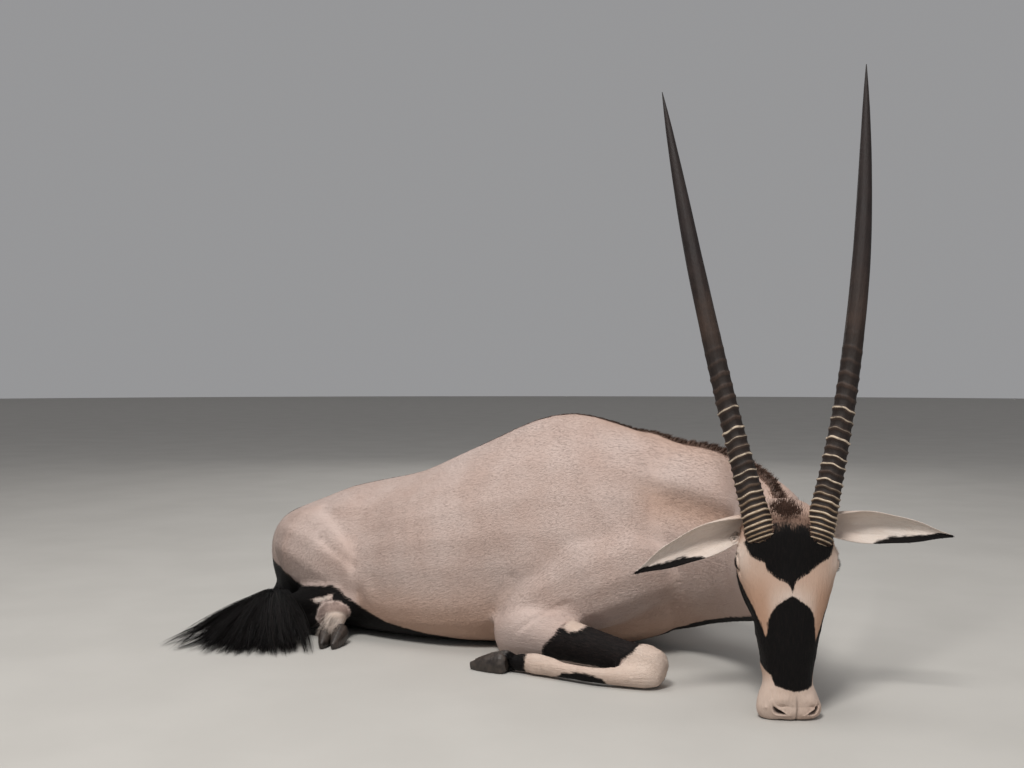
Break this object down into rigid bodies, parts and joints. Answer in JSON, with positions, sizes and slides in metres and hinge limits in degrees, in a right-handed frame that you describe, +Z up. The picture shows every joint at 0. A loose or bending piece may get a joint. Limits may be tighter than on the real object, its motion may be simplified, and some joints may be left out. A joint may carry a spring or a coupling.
{
  "type": "gemsbok",
  "caption": "Still, life-size gemsbok lying with folded legs, its head turned to the side and set upright on the muzzle, with long ringed horns.",
  "frame": {"origin": "on the floor under the chest, in the trunk's middle plane, close behind the elbows", "axes": "+X along the trunk to the front, +Y to the animal's left, +Z up"},
  "size_m": [1.7127, 0.8966, 1.2673],
  "materials": {
    "coat": "short greyish fawn hair with black and white markings",
    "black_coat": "long, coarse black hair",
    "horn": "dark ringed horn, smooth towards the tip",
    "hoof": "dark grey hoof horn, worn dull",
    "eye": "very dark brown, wet gloss"
  },
  "bodies": {
    "root": {"torso": "coat", "neck": "coat", "head": "coat", "ear_right": "coat", "ear_left": "coat", "foreleg_right_upper": "coat", "foreleg_right_lower": "coat", "foreleg_left_upper": "coat", "foreleg_left_lower": "coat", "hindleg_right_upper": "coat", "hindleg_right_lower": "coat", "hindleg_left_upper": "coat", "hindleg_left_lower": "coat", "tail": "black_coat", "eye_right": "eye", "eye_left": "eye", "horn_right": "horn", "horn_left": "horn", "hoof_fore_right_outer": "hoof", "hoof_fore_right_inner": "hoof", "hoof_fore_left_outer": "hoof", "hoof_fore_left_inner": "hoof", "hoof_hind_right_outer": "hoof", "hoof_hind_right_inner": "hoof", "hoof_hind_left_outer": "hoof", "hoof_hind_left_inner": "hoof"}
  },
  "joints": []
}
